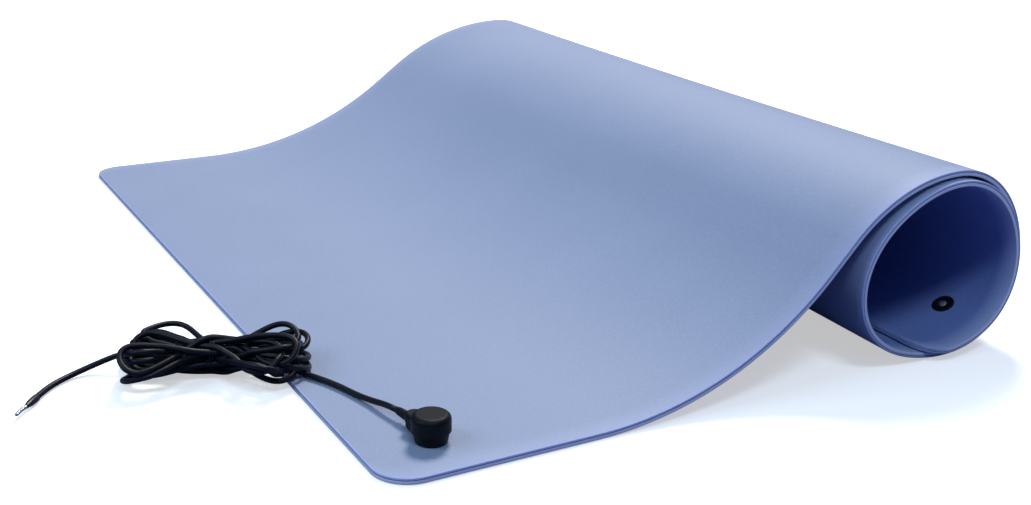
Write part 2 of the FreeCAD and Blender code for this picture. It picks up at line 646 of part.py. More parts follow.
def main():
    """Build every piece, move it to the final origin and write it."""
    pieces = {}
    layers = {
        "mat_base_layer": sheet_layer(-HALF, -HALF + BASE_LAYER),
        "mat_conductive_layer": sheet_layer(-HALF + BASE_LAYER, HALF - TOP_LAYER),
        "mat_top_layer": sheet_layer(HALF - TOP_LAYER, HALF),
    }
    snaps = {
        "front": (sheet_frame(FRONT_STUD_X, FRONT_STUD_Y, HALF), FRONT_WASHER_SEAT),
        "end": (sheet_frame(END_STUD_S, END_STUD_Y, HALF), END_WASHER_SEAT),
    }
    for name, (place, seat) in snaps.items():
        for layer in layers:
            for cut in snap_cuts(seat):
                layers[layer] = layers[layer].cut(placed(cut, place))
        pieces[name + "_snap_stud"] = placed(stud_shape(), place)
        pieces[name + "_snap_washer"] = placed(washer_shape(seat), place)
        pieces[name + "_snap_rivet"] = placed(rivet_shape(seat), place)
    pieces.update(layers)

    turn = FreeCAD.Rotation(V(0, 0, 1), CONNECTOR_YAW)
    connector = FreeCAD.Placement(CONNECTOR_ORIGIN, turn)
    for build in (connector_base, connector_cover, snap_socket, socket_spring, socket_rivet,
                  terminal_tab, resistor_body, resistor_leads, wire_crimp, cord_conductor,
                  cord_inner_end, strain_relief):
        pieces[build.__name__] = placed(build(), connector)

    exit_point = connector.multVec(V(NECK_LENGTH + RELIEF_LENGTH + CORD_GAP, 0, CORD_AXIS_HEIGHT))
    lead = [exit_point] + [V(*p) for p in LEAD_ROUTE]
    tail = [V(*p) for p in TAIL_ROUTE]
    for name, points in (("cord_lead", lead), ("cord_tail", tail)):
        solid, radii = tube(points, CORD_RADIUS)
        report_tube(name, solid, radii, points, CORD_RADIUS)
        pieces[name] = solid
    pieces["cord_hank"] = cord_hank()
    pieces["cord_tie"] = cord_tie()
    heading = (tail[-1] - tail[-2]).normalize()
    sleeve = Part.makeCylinder(SLEEVE_RADIUS, SLEEVE_LENGTH, tail[-1], heading)
    before = tail[-1] - heading * 0.5
    bore = Part.makeCylinder(STRAND_RADIUS + 0.05, SLEEVE_LENGTH + 1, before, heading)
    pieces["end_sleeve"] = sleeve.cut(bore)
    strands = Part.makeCylinder(STRAND_RADIUS, SLEEVE_LENGTH + 0.5, tail[-1], heading)
    mouth = tail[-1] + heading * SLEEVE_LENGTH
    pieces["end_tip"] = strands.fuse(Part.makeCylinder(TIP_RADIUS, TIP_LENGTH, mouth, heading))

    xs = [sheet_point(s, w, o).x for s in range(0, int(MAT_LENGTH)) for w in (0, MAT_WIDTH)
          for o in (-HALF, HALF)]
    middle = V((min(xs) + max(xs)) / 2, (MAT_WIDTH - creep(MAT_LENGTH)) / 2, 0)
    print("corner frame to row frame", [round(-c, 3) for c in middle])
    os.makedirs("parts", exist_ok=True)
    for name, shape in pieces.items():
        shape.translate(middle * -1)
        print(name, "valid", shape.isValid(), "solids", len(shape.Solids), "volume",
              round(shape.Volume, 1))
        shape.exportStep("parts/" + name + ".step")


main()
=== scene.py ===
import logging
import math
import random
from dataclasses import dataclass, field
from enum import Enum
from typing import Callable, Dict, List, Optional, Sequence, Tuple

import bpy
import numpy as np
from mathutils import Matrix, Vector


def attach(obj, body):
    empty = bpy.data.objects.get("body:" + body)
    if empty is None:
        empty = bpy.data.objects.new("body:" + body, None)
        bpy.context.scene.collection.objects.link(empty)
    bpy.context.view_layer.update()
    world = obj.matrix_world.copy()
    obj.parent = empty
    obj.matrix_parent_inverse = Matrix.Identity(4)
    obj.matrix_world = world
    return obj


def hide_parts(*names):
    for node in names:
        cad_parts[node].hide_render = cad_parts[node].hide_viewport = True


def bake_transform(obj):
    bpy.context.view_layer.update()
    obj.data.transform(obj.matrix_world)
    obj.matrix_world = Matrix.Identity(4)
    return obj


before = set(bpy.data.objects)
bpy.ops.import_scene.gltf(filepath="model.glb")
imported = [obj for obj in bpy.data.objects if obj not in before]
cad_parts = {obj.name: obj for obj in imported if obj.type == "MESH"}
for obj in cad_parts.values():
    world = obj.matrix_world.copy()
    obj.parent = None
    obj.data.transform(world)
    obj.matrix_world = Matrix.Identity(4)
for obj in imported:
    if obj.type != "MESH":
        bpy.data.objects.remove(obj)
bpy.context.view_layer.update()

# Looks of the ESD bench mat: a half-rolled vinyl sheet, its press studs and a hanked ground cord.
# Lengths in the layout are millimetres in the mat's corner frame, as in the CAD part. Layout.row
# turns them into metres in the row frame.

logging.basicConfig(level=logging.INFO, format="%(name)s: %(message)s")
LOG = logging.getLogger("bench_mat")

MM = 0.001
SEED = 7

Point2 = Tuple[float, float]
Point3 = Tuple[float, float, float]


# ---- layout --------------------------------------------------------------------------------------
class Layer(Enum):
    """The mat's laminated layers, as (low, high) depth below the top side in millimetres."""

    TOP = (0.0, 1.2)
    CONDUCTIVE = (1.2, 1.5)
    BASE = (1.5, 3.4)


@dataclass(frozen=True)
class EdgeProfile:
    """Profile of the sheet along one of its long edges.

    Args:
        flat: length that lies on the bench.
        valley: radius where the sheet starts to climb.
        climb: steepest slope, in degrees.
        crest: radius where the sheet rolls over the top.
        taper: size of the roll against the near side's.
    """

    flat: float
    valley: float
    climb: float
    crest: float
    taper: float


@dataclass(frozen=True)
class Layout:
    """Sizes and places shared with the CAD part."""

    width: float = 610.0
    length: float = 914.4
    thickness: float = 3.4
    corner_radius: float = 20.0
    near: EdgeProfile = EdgeProfile(116.0, 203.0, 46.3, 98.0, 1.0)
    far: EdgeProfile = EdgeProfile(99.0, 273.0, 36.1, 175.5, 0.925)
    roll_radius: float = 59.2
    oval: float = 0.064
    oval_turn: float = 90.0
    egg: float = 0.029
    egg_turn: float = 16.6
    turn_gap: float = 1.5
    stud_gap: float = 4.2
    end_gap: float = 0.5
    telescope: float = 0.338e-4
    end_stud: float = 864.4
    connector: Point2 = (37.5, 31.5)
    connector_yaw: float = 100.0
    relief_end: float = 29.3
    cord_height: float = 5.6
    cord_radius: float = 1.65
    corner_to_row: Point3 = (-218.902, -300.193, 0.0)

    def row(self, point: Sequence[float]) -> Vector:
        """A corner-frame point in millimetres as a row-frame point in metres."""
        return Vector([(c + o) * MM for c, o in zip(point, self.corner_to_row)])

    def cord_exit(self) -> Point3:
        """Where the laid cord starts, at the end of the strain relief."""
        yaw = math.radians(self.connector_yaw)
        return (self.connector[0] + self.relief_end * math.cos(yaw),
                self.connector[1] + self.relief_end * math.sin(yaw),
                self.thickness + self.cord_height)


LAYOUT = Layout()

LEAD_ROUTE: List[Point3] = [
    (30.35, 68.3, 9.0), (27.6, 80.2, 6.7), (23.8, 93.6, 5.4), (19.9, 107.6, 5.45),
    (14.7, 120.7, 5.4), (8.4, 132.4, 5.6), (2.0, 140.6, 8.2),
]
TAIL_ROUTE: List[Point3] = [
    (-70.5, 191.5, 11.0), (-79.5, 195.2, 8.4), (-89.6, 198.2, 4.4), (-100.6, 196.6, 2.0),
    (-111.6, 190.0, 1.75), (-120.6, 180.8, 1.8), (-126.4, 171.6, 2.4),
]


# ---- mesh helpers --------------------------------------------------------------------------------
def new_object(name: str, mesh: bpy.types.Mesh) -> bpy.types.Object:
    """Link a mesh to the scene as an object."""
    obj = bpy.data.objects.new(name, mesh)
    bpy.context.scene.collection.objects.link(obj)
    return obj


def mesh_from(name: str, points: Sequence[Sequence[float]], faces: Sequence[Sequence[int]],
              smooth: bool = True) -> bpy.types.Mesh:
    """Build a mesh from points and faces.

    Args:
        name: mesh name.
        points: vertex places, in metres.
        faces: vertex indices of each face.
        smooth: whether faces are shaded smooth.

    Returns:
        The new mesh.
    """
    mesh = bpy.data.meshes.new(name)
    mesh.from_pydata([tuple(p) for p in points], [], [tuple(f) for f in faces])
    mesh.validate()
    mesh.polygons.foreach_set("use_smooth", [smooth] * len(mesh.polygons))
    mesh.update()
    return mesh


def sweep(name: str, line: Sequence[Vector], section: Callable[[float, float], float],
          sides: int) -> bpy.types.Mesh:
    """Sweep a closed section along a line with frames that don't twist.

    Args:
        name: mesh name.
        line: centre points in metres.
        section: radius at (share along the line, angle).
        sides: points round the section.

    Returns:
        The closed mesh.
    """
    tangents = [(line[min(i + 1, len(line) - 1)] - line[max(i - 1, 0)]).normalized()
                for i in range(len(line))]
    normal = tangents[0].orthogonal().normalized()
    points: List[Vector] = []
    for i, (centre, tangent) in enumerate(zip(line, tangents)):
        normal = (normal - tangent * normal.dot(tangent)).normalized()
        side = tangent.cross(normal)
        for k in range(sides):
            angle = 2 * math.pi * k / sides
            radius = section(i / (len(line) - 1), angle)
            points.append(centre + (normal * math.cos(angle) + side * math.sin(angle)) * radius)
    faces = [[i * sides + k, i * sides + (k + 1) % sides, (i + 1) * sides + (k + 1) % sides,
              (i + 1) * sides + k] for i in range(len(line) - 1) for k in range(sides)]
    faces.append(list(range(sides))[::-1])
    faces.append([(len(line) - 1) * sides + k for k in range(sides)])
    return mesh_from(name, points, faces)


def nurbs_line(name: str, route: Sequence[Vector], resolution: int) -> List[Vector]:
    """Points of an open NURBS curve through a route of control points.

    Args:
        name: name of the short-lived curve.
        route: control points in metres.
        resolution: points per span.

    Returns:
        The curve's points, from its first control point to its last.
    """
    curve = bpy.data.curves.new(name, "CURVE")
    curve.dimensions = "3D"
    spline = curve.splines.new("NURBS")
    spline.points.add(len(route) - 1)
    for control, place in zip(spline.points, route):
        control.co = (*place, 1.0)
    spline.order_u = 3
    spline.use_endpoint_u = True
    spline.resolution_u = resolution
    holder = bpy.data.objects.new(name, curve)
    bpy.context.scene.collection.objects.link(holder)
    bpy.context.view_layer.update()
    mesh = bpy.data.meshes.new_from_object(holder)
    line = [v.co.copy() for v in mesh.vertices]
    bpy.data.objects.remove(holder)
    bpy.data.curves.remove(curve)
    bpy.data.meshes.remove(mesh)
    return line


# ---- the sheet's shape ---------------------------------------------------------------------------
def ease(share: float) -> float:
    """An ease curve from 0 to 1."""
    share = min(max(share, 0.0), 1.0)
    return share * share * (3 - 2 * share)


@dataclass
class SheetShape:
    """Turns developed places on the mat (length, across, offset) into points in space.

    Args:
        layout: the mat's sizes.
        first_turn: degrees before the roll's top where its outer turn may start.
        valley_steps: points of the valley's arc.
        crest_steps: points of the crest's arc.
        wind_step: degrees between points of the inner turn.
        spare: length past the mat's end, so that its edge has a direction.
    """

    layout: Layout
    first_turn: int = -40
    valley_steps: int = 160
    crest_steps: int = 120
    wind_step: float = 0.5
    spare: float = 2.0

    def __post_init__(self) -> None:
        """Work out both edges' centre lines."""
        self.near = self._dense(self.layout.near)
        self.far = self._dense(self.layout.far)
        self.wound_from = float(self.near[0][np.argmax(self.near[2])])

    def _oval(self, turn: float) -> float:
        """Radius of the roll's oval at an angle clockwise from its top."""
        lay = self.layout
        oval = lay.oval * math.cos(2 * (turn - math.radians(lay.oval_turn)))
        egg = lay.egg * math.cos(3 * (turn - math.radians(lay.egg_turn)))
        return lay.roll_radius * (1 + oval + egg)

    def _gap(self, wound: float, to_stud: float, to_end: float) -> float:
        """Clear space between the turns at a length of the second turn."""
        lay = self.layout
        if wound < to_stud:
            return lay.turn_gap + (lay.stud_gap - lay.turn_gap) * ease(wound / to_stud)
        share = ease((wound - to_stud) / (to_end - to_stud))
        return lay.stud_gap + (lay.end_gap - lay.stud_gap) * share

    def _dense(self, side: EdgeProfile) -> Tuple[np.ndarray, np.ndarray, np.ndarray]:
        """Centre line of the sheet on one side: arrays of length, x and height."""
        lay = self.layout
        climb = math.radians(side.climb)
        pitch = lay.thickness + lay.turn_gap
        angles = [math.radians(a) for a in range(self.first_turn, 361)]
        outer = []
        for angle in angles:
            radius = self._oval(angle) * side.taper - pitch * angle / (2 * math.pi)
            outer.append((radius * math.sin(angle), radius * math.cos(angle)))
        first = max(range(90), key=lambda i: outer[i][1])
        outer, angles = outer[first:], angles[first:]
        drop = -min(z for _, z in outer)
        rise = outer[0][1] + drop - (side.valley + side.crest) * (1 - math.cos(climb))
        path: List[Point2] = [(0.0, 0.0), (side.flat, 0.0)]
        for i in range(1, self.valley_steps + 1):
            angle = climb * i / self.valley_steps
            path.append((side.flat + side.valley * math.sin(angle),
                         side.valley * (1 - math.cos(angle))))
        x, z = path[-1]
        x, z = x + rise / math.tan(climb), z + rise
        path.append((x, z))
        for i in range(1, self.crest_steps + 1):
            angle = climb - climb * i / self.crest_steps
            path.append((x + side.crest * (math.sin(climb) - math.sin(angle)),
                         z + side.crest * (math.cos(angle) - math.cos(climb))))
        shift = path[-1][0] - outer[0][0]
        path += [(px + shift, pz + drop) for px, pz in outer[1:]]
        lengths = [0.0]
        for a, b in zip(path, path[1:]):
            lengths.append(lengths[-1] + math.hypot(b[0] - a[0], b[1] - a[1]))
        start, angle = lengths[-1], angles[-1]
        to_stud, to_end = lay.end_stud - start, lay.length - start
        while lengths[-1] < lay.length + self.spare:
            angle += math.radians(self.wind_step)
            gap = self._gap(lengths[-1] - start, to_stud, to_end)
            radius = self._oval(angle) * side.taper
            radius -= pitch * (angle - 2 * math.pi) / (2 * math.pi) + lay.thickness + gap
            x, z = radius * math.sin(angle) + shift, radius * math.cos(angle) + drop
            lengths.append(lengths[-1] + math.hypot(x - path[-1][0], z - path[-1][1]))
            path.append((x, z))
        return (np.array(lengths), np.array([p[0] for p in path]), np.array([p[1] for p in path]))

    def _edge(self, dense: Tuple[np.ndarray, np.ndarray, np.ndarray],
              lengths: np.ndarray, offset: float) -> Tuple[np.ndarray, np.ndarray]:
        """Offset profile points on one side."""
        s, x, z = dense
        before, after = np.maximum(lengths - self.spare, 0.0), lengths + self.spare
        dx = np.interp(after, s, x) - np.interp(before, s, x)
        dz = np.interp(after, s, z) - np.interp(before, s, z)
        run = np.hypot(dx, dz)
        return (np.interp(lengths, s, x) - dz / run * offset,
                np.interp(lengths, s, z) + dx / run * offset + self.layout.thickness / 2)

    def points(self, lengths: np.ndarray, across: np.ndarray, offset: float) -> np.ndarray:
        """Corner-frame points of developed places.

        Args:
            lengths: places along the sheet.
            across: places from the near edge.
            offset: distance from the middle surface, towards the top side.

        Returns:
            Array of points, in millimetres.
        """
        near_x, near_z = self._edge(self.near, lengths, offset)
        far_x, far_z = self._edge(self.far, lengths, offset)
        share = across / self.layout.width
        creep = self.layout.telescope * np.maximum(0.0, lengths - self.wound_from) ** 2
        return np.stack([near_x + (far_x - near_x) * share, across - creep,
                         near_z + (far_z - near_z) * share], axis=1)


# ---- the mat -------------------------------------------------------------------------------------
@dataclass
class MatLayers:
    """Builds the three bonded layers of the mat.

    Args:
        shape: the sheet's shape.
        stations: rows along the straight part of the sheet.
        columns: columns across it.
        corner_steps: rows along each rounded corner.
        side_cut: share of the cut edges' pale colour, which is partly painted light, where a side
            meets the edge.
        end_painted_shade: painted shade on the rolled end: how much of the cut edge's paleness is
            taken away there, where that edge lies in shade.
        fade: length over which it is lost.
    """

    shape: SheetShape
    stations: int = 420
    columns: int = 44
    corner_steps: int = 14
    side_cut: float = 0.35
    end_painted_shade: float = 0.85
    fade: float = 12.0
    objects: Dict[Layer, bpy.types.Object] = field(default_factory=dict)

    def _grid(self, inset: float) -> Tuple[np.ndarray, np.ndarray]:
        """Developed places of the grid for an outline drawn in by inset: (length, across)."""
        lay = self.shape.layout
        radius = lay.corner_radius - inset
        turns = np.linspace(0.0, math.pi / 2, self.corner_steps + 1)[:-1]
        head_s = inset + radius * (1 - np.cos(turns))
        head_w = inset + radius * (1 - np.sin(turns))
        straight = np.linspace(lay.corner_radius, lay.length - lay.corner_radius, self.stations)
        s = np.concatenate([head_s, straight, (lay.length - head_s)[::-1]])
        w0 = np.concatenate([head_w, np.full(self.stations, inset), head_w[::-1]])
        shares = np.linspace(0.0, 1.0, self.columns + 1)
        across = w0[:, None] + (lay.width - 2 * w0[:, None]) * shares[None, :]
        return np.repeat(s[:, None], self.columns + 1, axis=1), across

    def _rim_order(self) -> List[Tuple[int, int]]:
        """Grid indices round the outline, in order."""
        rows = self.stations + 2 * self.corner_steps
        cols = self.columns + 1
        order = [(0, j) for j in range(cols)]
        order += [(i, cols - 1) for i in range(1, rows)]
        order += [(rows - 1, j) for j in range(cols - 2, -1, -1)]
        order += [(i, 0) for i in range(rows - 2, 0, -1)]
        return order

    def _rings(self, layer: Layer) -> List[Tuple[float, float]]:
        """(inset, offset) of the rings down a layer's cut edge, from its upper to its lower side."""
        half = self.shape.layout.thickness / 2
        high, low = half - layer.value[0], half - layer.value[1]
        if layer is Layer.TOP:
            return [(0.75, high), (0.42, high - 0.05), (0.16, high - 0.2), (0.03, high - 0.48),
                    (0.0, high - 0.8), (0.02, low + 0.08), (0.07, low)]
        if layer is Layer.CONDUCTIVE:
            return [(0.1, high), (0.1, low)]
        return [(0.07, high), (0.02, high - 0.08), (0.0, high - 0.5), (0.0, low + 0.45),
                (0.08, low + 0.16), (0.3, low)]

    def _ring(self, inset: float, whole: bool) -> Tuple[np.ndarray, np.ndarray, np.ndarray]:
        """Developed places and cut-edge mask of one ring, with painted shade at the rolled end:
        (length, across, mask).

        Args:
            inset: how far the ring lies inside the outline.
            whole: whether it is a layer's full side, or only its outline.
        """
        lay = self.shape.layout
        order, cols = self._rim_order(), self.columns + 1
        s, w = self._grid(inset)
        if whole:
            s, w = s.ravel(), w.ravel()
            cut = np.zeros(len(s))
            for i, j in order:
                cut[i * cols + j] = self.side_cut
            return s, w, cut
        s = np.array([s[i, j] for i, j in order])
        w = np.array([w[i, j] for i, j in order])
        # Painted shade: the cut edge's pale colour fades out towards the rolled end, which lies in
        # shade.
        near_end = (s - lay.length + lay.corner_radius) / self.fade
        return s, w, 1.0 - self.end_painted_shade * np.clip(near_end, 0.0, 1.0)

    def _faces(self, counts: Sequence[int]) -> List[List[int]]:
        """Faces of a layer from the number of points in each of its rings."""
        order = self._rim_order()
        rows, cols = self.stations + 2 * self.corner_steps, self.columns + 1
        starts = np.cumsum([0] + list(counts))
        last = starts[len(counts) - 1]
        faces: List[List[int]] = []
        for i in range(rows - 1):
            for j in range(cols - 1):
                a, b = i * cols + j, (i + 1) * cols + j
                faces.append([a, b, b + 1, a + 1])
                faces.append([last + a, last + a + 1, last + b + 1, last + b])
        ids = [[i * cols + j for i, j in order]]
        ids += [list(range(starts[k], starts[k + 1])) for k in range(1, len(counts) - 1)]
        ids.append([last + i * cols + j for i, j in order])
        for upper, lower in zip(ids, ids[1:]):
            for k in range(len(order)):
                n = (k + 1) % len(order)
                faces.append([upper[k], upper[n], lower[n], lower[k]])
        return faces

    def build(self, layer: Layer, name: str) -> bpy.types.Object:
        """Build one layer as a closed mesh with developed UVs.

        Args:
            layer: which layer.
            name: object name.

        Returns:
            The layer's object, in the row frame.
        """
        rings = self._rings(layer)
        points: List[np.ndarray] = []
        developed: List[np.ndarray] = []
        mask: List[np.ndarray] = []
        for k, (inset, offset) in enumerate(rings):
            s, w, cut = self._ring(inset, k in (0, len(rings) - 1))
            points.append(self.shape.points(s, w, offset))
            developed.append(np.stack([s, w], axis=1))
            mask.append(cut)
        shift = np.array(self.shape.layout.corner_to_row)
        mesh = mesh_from(name, (np.concatenate(points) + shift) * MM,
                         self._faces([len(p) for p in points]))
        flat = np.concatenate(developed) * MM
        uv = mesh.uv_layers.new(name="developed")
        loops = np.zeros(len(mesh.loops), dtype=np.int64)
        mesh.loops.foreach_get("vertex_index", loops)
        uv.data.foreach_set("uv", flat[loops].astype(np.float32).ravel())
        # Mask of the cut edges' pale colour, which is partly painted light, with painted shade at
        # the rolled end.
        attribute = mesh.attributes.new("cut_edge_and_painted_light", "FLOAT", "POINT")
        attribute.data.foreach_set("value", np.concatenate(mask).astype(np.float32))
        obj = new_object(name, mesh)
        self.objects[layer] = obj
        LOG.info("%s: %d faces", name, len(mesh.polygons))
        return obj


# ---- the cord ------------------------------------------------------------------------------------
@dataclass(frozen=True)
class LoopHabit:
    """How the hank's loops differ from each other.

    Args:
        fan: spread of their headings, in degrees.
        near_turn: turn of all headings towards the near side, in degrees.
        tilt: spread of their lean, in degrees.
        width: least width and how much more it may be.
        reach: least reach and how much more it may be.
        rise: height from the first loop's end to the last one's.
        sunk: share of the rise that lies below the waist.
        play: spread of the ends' heights.
        loose: which loop hangs loose.
        loose_fan: its heading, in degrees.
        loose_width: its width.
        loose_reach: its reach.
    """

    fan: float = 68.0
    near_turn: float = 2.0
    tilt: float = 70.0
    width: Point2 = (12.0, 16.0)
    reach: Point2 = (46.0, 9.0)
    rise: float = 17.0
    sunk: float = 0.4
    play: float = 6.0
    loose: int = 4
    loose_fan: float = -27.0
    loose_width: float = 31.0
    loose_reach: float = 55.0


@dataclass
class Hank:
    """Lays the tied hank as one line of loops and pushes touching turns apart.

    Args:
        right, waist, left: the axis from the connector's side to the tail's side.
        waist_axis: heading of the axis at the tie.
        height: height of the waist's middle.
        core_radius: how far out the tied strands' centres lie.
        tie_radius: radius of the tie.
        over_radius: how far out the turns over the tie lie.
        over_turns: how many turns lie over the tie.
        crown: greatest height of a turn's centre.
        loops: loops on each side of the tie.
        petal_points: points of a raw loop.
        step: distance between points of the settled line.
        habit: how the loops differ.
        rng: where the loops' differences are drawn from.
        packing: spacing of strands at the waist, in cord diameters.
        over_from: degrees from the level where the turns over the tie start.
        over_span: degrees that they cover.
        bend_length: from the waist to where the axis is straight again.
        clearance: spacing of settled turns, in cord diameters.
        push: share of an overlap that one round clears.
        longest_push: furthest that one round moves a point.
        stiffness: pull towards a smooth line.
        last_stiffness: the same in the last rounds.
        last_rounds: how many those are.
        recall: pull towards the raw line.
        sink: drop in each round.
        tied_length: from the waist to where the tie's hold ends.
        tie_play: how far outside over_radius the tie lets a strand lie.
        tie_pull: share of the rest that one round takes back.
        mat_side: where turns start to rest on the mat, not on the bench.
        bed: clear space under the lowest turns.
    """

    right: Point2 = (17.0, 135.0)
    waist: Point2 = (-31.5, 165.5)
    left: Point2 = (-84.0, 190.0)
    waist_axis: Point2 = (-0.88, 0.475)
    height: float = 12.4
    core_radius: float = 7.0
    tie_radius: float = 9.2
    over_radius: float = 11.4
    over_turns: int = 10
    crown: float = 27.5
    loops: int = 12
    petal_points: int = 34
    step: float = 3.0
    habit: LoopHabit = LoopHabit()
    rng: random.Random = field(default_factory=lambda: random.Random(SEED))
    packing: float = 1.02
    over_from: float = -8.0
    over_span: float = 196.0
    bend_length: float = 30.0
    clearance: float = 1.03
    push: float = 0.32
    longest_push: float = 1.2
    stiffness: float = 0.35
    last_stiffness: float = 0.12
    last_rounds: int = 12
    recall: float = 0.02
    sink: float = 0.04
    tied_length: float = 5.5
    tie_play: float = 0.6
    tie_pull: float = 0.5
    mat_side: float = -1.5
    bed: float = 0.35

    def _slots(self) -> List[Point2]:
        """Places of the strands at the waist: a tied core and turns over it, (sideways, height)."""
        pitch = 2 * LAYOUT.cord_radius * self.packing
        core = []
        rings = math.ceil(self.core_radius / pitch)
        for row in range(-rings, rings + 1):
            for col in range(-rings, rings + 1):
                u = (col + 0.5 * (row % 2)) * pitch
                v = row * pitch * 0.866
                if math.hypot(u, v) < self.core_radius:
                    core.append((u, v))
        over = []
        for k in range(self.over_turns):
            angle = math.radians(self.over_from + self.over_span * k / (self.over_turns - 1))
            over.append((self.over_radius * math.cos(angle), self.over_radius * math.sin(angle)))
        self.rng.shuffle(core)
        self.rng.shuffle(over)
        return core + over

    def _petal(self, side: int, fan: float, tilt: float, width: float, reach: float, lift: float,
               start: Point2, end: Point2) -> List[np.ndarray]:
        """One loop from the waist out to an end of the hank and back.

        Args:
            side: 1 towards the tail, -1 towards the connector.
            fan: heading of the loop, in radians.
            tilt: lean of the loop, in radians.
            width: how wide it opens, negative for the other way round.
            reach: how far out it goes.
            lift: height of its far end.
            start: place at the waist where it starts, (sideways, height).
            end: place where it comes back.

        Returns:
            Points as (along, sideways, height).
        """
        points = []
        for i in range(self.petal_points + 1):
            share = i / self.petal_points
            theta = math.pi * 2 * i / self.petal_points
            along = reach * math.sin(theta / 2)
            loop = width * math.sin(theta) * math.sin(theta / 2)
            across = loop * math.cos(tilt)
            x = along * math.cos(fan) - across * math.sin(fan)
            y = along * math.sin(fan) + across * math.cos(fan)
            away = ease(along / reach)
            u = start[0] + (end[0] - start[0]) * share
            v = start[1] + (end[1] - start[1]) * share
            points.append(np.array([side * x, y + u * (1 - away * 0.6),
                                    v * (1 - away) + lift * away + loop * math.sin(tilt)]))
        return points

    def _place(self, local: np.ndarray) -> np.ndarray:
        """A point of the bent hank axis: (along, sideways, height) to the corner frame."""
        waist = np.array(self.waist)
        end = np.array(self.right if local[0] < 0 else self.left)
        heading = (end - waist) / np.linalg.norm(end - waist)
        forward = heading if local[0] > 0 else -heading
        sideways = np.array([-forward[1], forward[0]])
        middle_side = np.array([-self.waist_axis[1], self.waist_axis[0]])
        blend = ease(abs(local[0]) / self.bend_length)
        side_dir = middle_side * (1 - blend) + sideways * blend
        flat = waist + heading * abs(local[0]) + side_dir * local[1]
        on_mat, off_mat = ease((-local[0] - 10) / 25), ease((local[0] - 10) / 30)
        return np.array([flat[0], flat[1], self.height + 1.9 * on_mat - 0.4 * off_mat + local[2]])

    def raw_line(self) -> np.ndarray:
        """The line before its turns are pushed apart."""
        slots, habit, draw = self._slots(), self.habit, self.rng.random
        crossings = [slots[k % len(slots)] for k in range(2 * self.loops + 1)]
        line = [self._place(np.array([-22.0, 3.0, 0.0]))]
        spread = {}
        for side in (1, -1):
            spread[side] = [(k + 0.5) / self.loops - 0.5 for k in range(self.loops)]
            self.rng.shuffle(spread[side])
        for k in range(2 * self.loops):
            side = 1 if k % 2 == 0 else -1
            share = (k // 2 + 0.5) / self.loops
            fan = math.radians(spread[side][k // 2] * habit.fan - habit.near_turn * side)
            tilt = math.radians((draw() - 0.5) * habit.tilt)
            width = (habit.width[0] + habit.width[1] * draw()) * (1 if draw() < 0.5 else -1)
            reach = habit.reach[0] + habit.reach[1] * draw()
            lift = (share - habit.sunk) * habit.rise + (draw() - 0.5) * habit.play
            if k == habit.loose:
                fan, tilt = math.radians(habit.loose_fan), 0.0
                width, reach = habit.loose_width, habit.loose_reach
            petal = self._petal(side, fan, tilt, width, reach, lift, crossings[k],
                                crossings[k + 1])
            line += [self._place(p) for p in petal[1:]]
        line.append(self._place(np.array([24.0, -4.0, 2.0])))
        return np.array(line)

    @staticmethod
    def resample(line: np.ndarray, step: float) -> np.ndarray:
        """Points at equal steps along a line."""
        lengths = np.concatenate([[0.0], np.cumsum(np.linalg.norm(np.diff(line, axis=0), axis=1))])
        count = max(2, int(round(lengths[-1] / step)))
        places = np.linspace(0.0, lengths[-1], count + 1)
        return np.stack([np.interp(places, lengths, line[:, k]) for k in range(3)], axis=1)

    def _push(self, points: np.ndarray, apart: np.ndarray, gap: float) -> np.ndarray:
        """How each point moves to clear the turns that touch it."""
        delta = points[:, None, :] - points[None, :, :]
        dist = np.sqrt((delta ** 2).sum(axis=2)) + 1e-9
        push = np.where(apart & (dist < gap), (gap - dist) / dist, 0.0)
        move = (delta * push[:, :, None]).sum(axis=1) * self.push
        size = np.linalg.norm(move, axis=1)
        return move * np.minimum(1.0, self.longest_push / np.maximum(size, 1e-9))[:, None]

    def _pull_in(self, points: np.ndarray) -> None:
        """Hold the strands together where they are tied."""
        tied = np.linalg.norm(points[:, :2] - np.array(self.waist), axis=1) < self.tied_length
        radial = points[tied] - np.array([*self.waist, self.height])
        radius = np.linalg.norm(radial, axis=1)
        over = np.maximum(radius - self.over_radius - self.tie_play, 0.0) / np.maximum(radius, 1e-9)
        points[tied] -= radial * over[:, None] * self.tie_pull

    def settle(self, line: np.ndarray, rounds: int, held: int) -> np.ndarray:
        """Push touching turns apart while the line stays smooth and above what it lies on.

        Args:
            line: points in the corner frame.
            rounds: iterations.
            held: points at each end that don't move.

        Returns:
            The settled points.
        """
        points, rest = line.copy(), line.copy()
        gap = 2 * LAYOUT.cord_radius * self.clearance
        near = int(math.ceil(gap * 1.6 / self.step))
        index = np.arange(len(points))
        apart = np.abs(index[:, None] - index[None, :]) > near
        free = (index >= held) & (index < len(points) - held)
        for step in range(rounds):
            points[free] += self._push(points, apart, gap)[free]
            smooth = points.copy()
            smooth[1:-1] = (points[:-2] + points[2:]) / 2
            stiff = self.stiffness if step < rounds - self.last_rounds else self.last_stiffness
            points[free] += (smooth[free] - points[free]) * stiff
            points[free] += (rest[free] - points[free]) * self.recall
            points[free, 2] -= self.sink
            self._pull_in(points)
            ground = np.where(points[:, 0] > self.mat_side, LAYOUT.thickness, 0.0)
            floor = ground + LAYOUT.cord_radius + self.bed
            points[free, 2] = np.clip(points[free, 2], floor[free], self.crown)
        return points


SLEEVE_PROFILE: List[Point2] = [
    (-3.0, 1.72), (-2.8, 1.95), (-2.0, 2.02), (2.0, 2.0), (4.5, 1.9), (6.0, 1.7), (7.4, 1.45),
    (8.8, 1.3), (9.4, 1.24), (9.5, 1.12),
]


